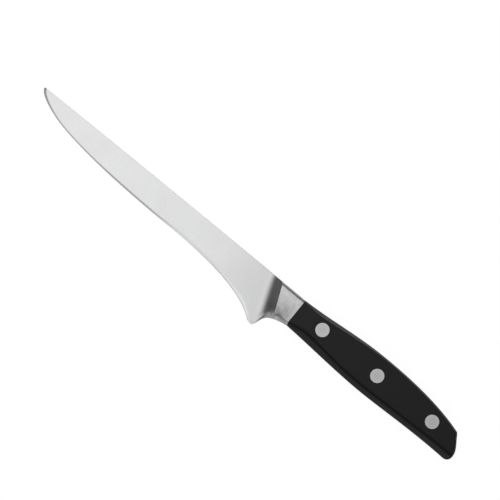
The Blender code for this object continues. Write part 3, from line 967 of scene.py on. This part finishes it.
def buildRivet(place, centre, finish):
    # the tube's head lies in the right scale and the pin's head in the left
    face = halfHandle - rivet["sink"]
    under = face - rivet["headDepth"]
    mouth = under - rivet["mouthGap"]
    tube, pin, bore = (rivet[key] / 2 for key in ("tubeDiameter", "pinDiameter", "boreDiameter"))
    soft = rivet["edgeRound"]
    turns = np.linspace(0, math.pi / 2, rivet["edgeSteps"])
    crown = [(0, face), (headRadius / 2, face), (headRadius - 1.5 * soft, face)] + [
        (headRadius - soft * (1 - math.sin(turn)), face - soft * (1 - math.cos(turn))) for turn in turns
    ]
    tubeProfile = [
        (0, -under), (bore, -under), (bore, mouth), (tube, mouth), (tube, -under), (headRadius, -under),
    ] + [(radius, -z) for radius, z in crown[::-1]]
    pinEnd = rivet["pinEnd"] - under
    pinProfile = crown + [(headRadius, under), (pin, under), (pin, pinEnd), (0, pinEnd)]
    for half, profile in (("Tube", tubeProfile), ("Pin", pinProfile)):
        name = "rivet" + half + place.capitalize()
        node = "rivet_" + half.lower() + "_" + place
        newPiece(name, coated(turned(name, profile), finish), node, centre)


buildForging()
print("forging done")
acetal = blackAcetal()
buildScale("scaleLeft", "scale_left", 1, acetal)
buildScale("scaleRight", "scale_right", -1, acetal)
print("scales done")
headSteel = rivetSteel()
for place, centre in zip(rivetPlaces, rivetCentres):
    buildRivet(place, centre, headSteel)
print("rivets done")


# the studio

studio = {
    "floorHalf": 2.5,
    "floorShade": (0.16, 0.16, 0.16),     # what light and shadow can change on the floor
    "floorGlow": 0.94,
    "floorBelow": 0.00005,                # it lies this far below the knife
    "boxHeight": 1.0,
    "boxHalf": 1.3,
    "boxFade": (0.36, 0.86),              # the panel fades between these distances from its middle
    "boxBrightest": 1.35,
    "skirt": 0.28,                        # light left beyond the edge, on the panel and on the wall
    "panelSkirt": (-0.80, -0.65),         # y on the panel over which it fades
    "wallSkirt": (-0.70, -0.50),          # y of the direction over which it fades
    "dim": 0.085,                         # the dark of the room
    "edgeWall": (0.44, -0.45, -0.80),     # the lighter walls beyond the edge and beyond the spine
    "spineWall": (1.20, 0.75, 0.95),
    "wallTop": (0.46, 0.10),              # the walls are dark above the first height, full below the second
    "cornerGlow": (0.80, 0.70, 0.90),     # two lighter corners, for the steel's look from the sides
    "below": 0.40,                        # light from under the knife
    "belowTop": (-0.30, -0.05),
    "backdrop": 0.97,                     # what the camera sees behind the floor
}
# brightness of the panel along x, in metres from its middle
panelGradient = (
    (-1.3, 0.05), (-1.1, 0.15), (-0.80, 0.38), (-0.54, 0.68), (-0.40, 0.88), (-0.31, 1.04), (-0.22, 1.14),
    (-0.10, 1.16), (0.00, 1.08), (0.045, 0.99), (0.08, 0.95), (0.136, 0.87), (0.20, 0.65), (0.4, 0.45),
    (0.8, 0.30), (1.3, 0.0),
)


def stageSheet(name, half, centre, material):
    built = bmesh.new()
    corners = [built.verts.new((half * x, half * y, 0)) for x, y in ((-1, -1), (1, -1), (1, 1), (-1, 1))]
    built.faces.new(corners)
    mesh = bpy.data.meshes.new(name)
    built.to_mesh(mesh)
    built.free()
    mesh.materials.append(material)
    sheet = bpy.data.objects.new(name, mesh)
    bpy.context.scene.collection.objects.link(sheet)
    sheet.location = centre
    return sheet


def emptyMaterial(name):
    made = bpy.data.materials.new(name)
    made.use_nodes = True
    made.node_tree.nodes.clear()
    output = made.node_tree.nodes.new("ShaderNodeOutputMaterial")
    return made, made.node_tree, output


def layFloor():
    made, tree, output = emptyMaterial("paleFloor")
    matt = addNode(tree, "ShaderNodeBsdfDiffuse", {"Color": (*studio["floorShade"], 1)})
    glow = addNode(tree, "ShaderNodeEmission", {"Color": (1, 1, 1, 1), "Strength": studio["floorGlow"]})
    both = addNode(tree, "ShaderNodeAddShader", {0: matt.outputs[0], 1: glow.outputs[0]})
    tree.links.new(both.outputs[0], output.inputs["Surface"])
    floor = stageSheet("floor", studio["floorHalf"], (0, 0, cadLow.z - studio["floorBelow"]), made)
    floor.visible_glossy = False


def hangSoftbox():
    made, tree, output = emptyMaterial("softboxCloth")
    place = addNode(tree, "ShaderNodeTexCoord").outputs["Object"]
    parts = addNode(tree, "ShaderNodeSeparateXYZ", {0: place})
    half = studio["boxHalf"]
    ramp = addNode(tree, "ShaderNodeValToRGB", {"Fac": spread(tree, parts.outputs["X"], 0, 1, -half, half)})
    stops = ramp.color_ramp.elements
    stops.remove(stops[-1])
    for x, bright in panelGradient:
        stop = stops[0] if x == -half else stops.new((x / half + 1) / 2)
        share = bright / studio["boxBrightest"]
        stop.color = (share, share, share, 1)
    start, end = studio["boxFade"]
    fade = addNode(tree, "ShaderNodeMapRange", {
        "Value": combine(tree, "ABSOLUTE", parts.outputs["Y"], 0),
        "From Min": start, "From Max": end, "To Min": 1, "To Max": 0,
    }, interpolation_type="SMOOTHSTEP").outputs["Result"]
    skirt = spread(tree, parts.outputs["Y"], studio["skirt"], 0, *studio["panelSkirt"])
    strength = combine(tree, "MULTIPLY", combine(tree, "MAXIMUM", fade, skirt), studio["boxBrightest"])
    cloth = addNode(tree, "ShaderNodeEmission", {"Color": ramp.outputs["Color"], "Strength": strength})
    tree.links.new(cloth.outputs[0], output.inputs["Surface"])
    softbox = stageSheet("softbox", studio["boxHalf"], (0, 0, studio["boxHeight"]), made)
    softbox.visible_camera = False


def lightRoom():
    world = bpy.data.worlds.new("studioRoom")
    bpy.context.scene.world = world
    world.use_nodes = True
    tree = world.node_tree
    tree.nodes.clear()
    direction = addNode(tree, "ShaderNodeTexCoord").outputs["Generated"]
    parts = addNode(tree, "ShaderNodeSeparateXYZ", {0: direction})
    walls = []
    for glow, start, end in (studio["edgeWall"], studio["spineWall"]):
        wall = addNode(tree, "ShaderNodeMapRange", {
            "Value": parts.outputs["Y"], "From Min": start, "From Max": end, "To Min": 0, "To Max": glow,
        }, interpolation_type="SMOOTHSTEP")
        walls.append(wall.outputs["Result"])
    under = spread(tree, parts.outputs["Z"], studio["below"], 0, *studio["belowTop"])
    height = spread(tree, parts.outputs["Z"], 0, 1, *studio["wallTop"])
    bright = combine(tree, "MULTIPLY", combine(tree, "MAXIMUM", *walls), height)
    glow, start, end = studio["cornerGlow"]
    sideways = combine(tree, "SUBTRACT", parts.outputs["X"], parts.outputs["Y"])
    sideways = combine(tree, "MULTIPLY", combine(tree, "ABSOLUTE", sideways, 0), math.sqrt(0.5))
    corner = spread(tree, sideways, 0, glow, start, end)
    skirt = spread(tree, parts.outputs["Y"], studio["skirt"], 0, *studio["wallSkirt"])
    for other in (corner, under, skirt):
        bright = combine(tree, "MAXIMUM", bright, other)
    room = combine(tree, "ADD", bright, studio["dim"])
    reflected = addNode(tree, "ShaderNodeBackground", {"Color": (1, 1, 1, 1), "Strength": room})
    seen = addNode(tree, "ShaderNodeBackground", {"Color": (1, 1, 1, 1), "Strength": studio["backdrop"]})
    ray = addNode(tree, "ShaderNodeLightPath")
    both = addNode(tree, "ShaderNodeMixShader", {
        0: ray.outputs["Is Camera Ray"], 1: reflected.outputs[0], 2: seen.outputs[0],
    })
    output = tree.nodes.new("ShaderNodeOutputWorld")
    tree.links.new(both.outputs[0], output.inputs["Surface"])


shot = {
    "lens": 250,
    "distance": 1.796,
    "turn": math.radians(39.24),
    "centre": (-0.00643, 0.01408),
}


def setCamera():
    camera = bpy.data.objects.new("camera", bpy.data.cameras.new("camera"))
    bpy.context.scene.collection.objects.link(camera)
    camera.data.lens = shot["lens"]
    camera.location = (*shot["centre"], knifeOrigin.z + shot["distance"])
    camera.rotation_euler = (0, 0, shot["turn"])
    bpy.context.scene.camera = camera


layFloor()
hangSoftbox()
lightRoom()
setCamera()
bpy.context.scene.view_settings.view_transform = "Standard"
print("studio set")
